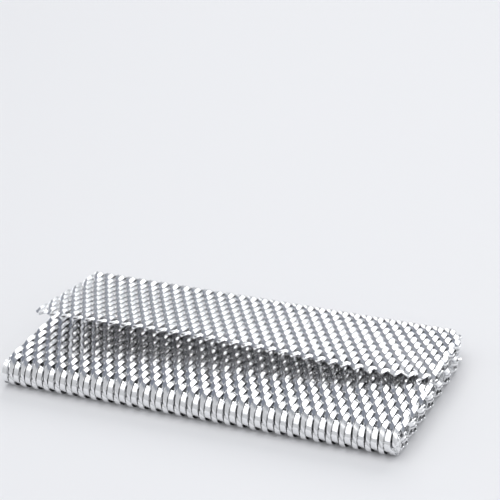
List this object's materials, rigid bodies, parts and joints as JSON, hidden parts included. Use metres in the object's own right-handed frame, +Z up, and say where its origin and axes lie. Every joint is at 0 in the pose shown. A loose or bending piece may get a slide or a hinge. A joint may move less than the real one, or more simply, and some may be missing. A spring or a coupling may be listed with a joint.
{
  "type": "folded wire mesh splint",
  "caption": "Strip of spiral woven flat metal wire, wound flat into an oblong pad, with the free end of its last turn standing off the pad at a corner.",
  "frame": {"origin": "centre of the bounding box at its base, on the surface the pad rests on", "axes": "+X along the fold lines, the strip's width; +Y from the front fold to the back fold; +Z up, out of the pad's face"},
  "size_m": [0.095, 0.0532, 0.0115],
  "materials": {
    "bright_wire": "bright rolled flat wire"
  },
  "bodies": {
    "root": {"mesh_strip": "bright_wire"}
  },
  "joints": []
}
